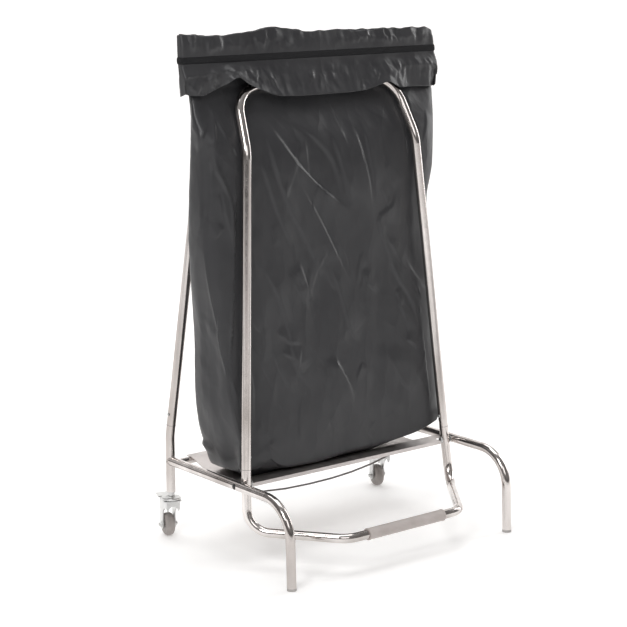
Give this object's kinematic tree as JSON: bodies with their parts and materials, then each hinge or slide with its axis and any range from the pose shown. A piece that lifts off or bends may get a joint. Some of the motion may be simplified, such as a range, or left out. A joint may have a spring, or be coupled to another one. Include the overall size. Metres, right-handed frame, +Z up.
{
  "type": "plastic bag holder",
  "caption": "Free-standing pedal-operated waste bag holder: bent stainless tube base on castors and feet, tilting front arch, fixed rear arch, strapped bag.",
  "frame": {"origin": "on the floor, under the centre of the overall bounding box", "axes": "+Z up, +X to the right seen from the pedal side, -Y towards the pedal"},
  "size_m": [0.6164, 0.457, 0.98],
  "materials": {
    "stainless": "polished",
    "zinc": "bright zinc plate",
    "spring_wire": "dark drawn wire",
    "foot_plastic": "matte",
    "hub_plastic": "matte",
    "grip": "fine matte texture",
    "tyre": "matte grey rubber",
    "bag_film": "satin polyethylene film",
    "strap": "matte woven elastic"
  },
  "bodies": {
    "root": {"left_side_tube": "stainless", "right_side_tube": "stainless", "left_foot_cap": "foot_plastic", "right_foot_cap": "foot_plastic", "left_rear_leg": "stainless", "right_rear_leg": "stainless", "rear_arch": "stainless", "rear_arch_rivets": "zinc", "rear_rim": "stainless", "front_cross_bar": "stainless", "rear_cross_bar": "stainless", "bottom_tray": "stainless", "left_pivot_pin": "zinc", "right_pivot_pin": "zinc", "pivot_washers": "zinc", "return_spring_wire": "spring_wire", "spring_wire_clips": "zinc", "bag_back_panel": "bag_film", "bag_left_gusset": "bag_film", "bag_right_gusset": "bag_film", "bag_bottom": "bag_film", "bag_rear_collar": "bag_film", "strap_rear": "strap", "left_castor_stem": "zinc", "right_castor_stem": "zinc"},
    "front_frame": {"pedal_loop": "stainless", "front_arch": "stainless", "front_arch_rivets": "zinc", "front_rim": "stainless", "pedal_grip": "grip", "bag_front_panel": "bag_film", "bag_front_collar": "bag_film", "strap_front": "strap"},
    "left_castor": {"left_swivel_head": "zinc", "left_fork": "zinc", "left_axle": "zinc", "left_brake_pin": "zinc"},
    "left_wheel": {"left_tyre": "tyre", "left_wheel_hub": "hub_plastic"},
    "left_brake": {"left_brake_lever": "zinc"},
    "right_castor": {"right_swivel_head": "zinc", "right_fork": "zinc", "right_axle": "zinc", "right_brake_pin": "zinc"},
    "right_wheel": {"right_tyre": "tyre", "right_wheel_hub": "hub_plastic"},
    "right_brake": {"right_brake_lever": "zinc"}
  },
  "joints": [
    {"name": "pedal_tilt", "type": "hinge", "parent": "root", "child": "front_frame", "pos_m": [0, -0.053, 0.158], "axis": [1, 0, 0], "range_deg": [0, 20], "stiffness_Nm_per_rad": 6, "springref_deg": -14.32},
    {"name": "left_castor_swivel", "type": "hinge", "parent": "root", "child": "left_castor", "pos_m": [-0.2705, 0.166, 0.08], "axis": [0, 0, 1], "continuous": true},
    {"name": "left_wheel_spin", "type": "hinge", "parent": "left_castor", "child": "left_wheel", "pos_m": [-0.26308, 0.18882, 0.0225], "axis": [0.9511, -0.309, 0], "continuous": true},
    {"name": "left_brake_press", "type": "hinge", "parent": "left_castor", "child": "left_brake", "pos_m": [-0.26525, 0.18217, 0.066], "axis": [0.9511, -0.309, 0], "range_deg": [-12, 0]},
    {"name": "right_castor_swivel", "type": "hinge", "parent": "root", "child": "right_castor", "pos_m": [0.2705, 0.166, 0.08], "axis": [0, 0, 1], "continuous": true},
    {"name": "right_wheel_spin", "type": "hinge", "parent": "right_castor", "child": "right_wheel", "pos_m": [0.27792, 0.18882, 0.0225], "axis": [0.9511, -0.309, 0], "continuous": true},
    {"name": "right_brake_press", "type": "hinge", "parent": "right_castor", "child": "right_brake", "pos_m": [0.27575, 0.18217, 0.066], "axis": [0.9511, -0.309, 0], "range_deg": [-12, 0]}
  ]
}
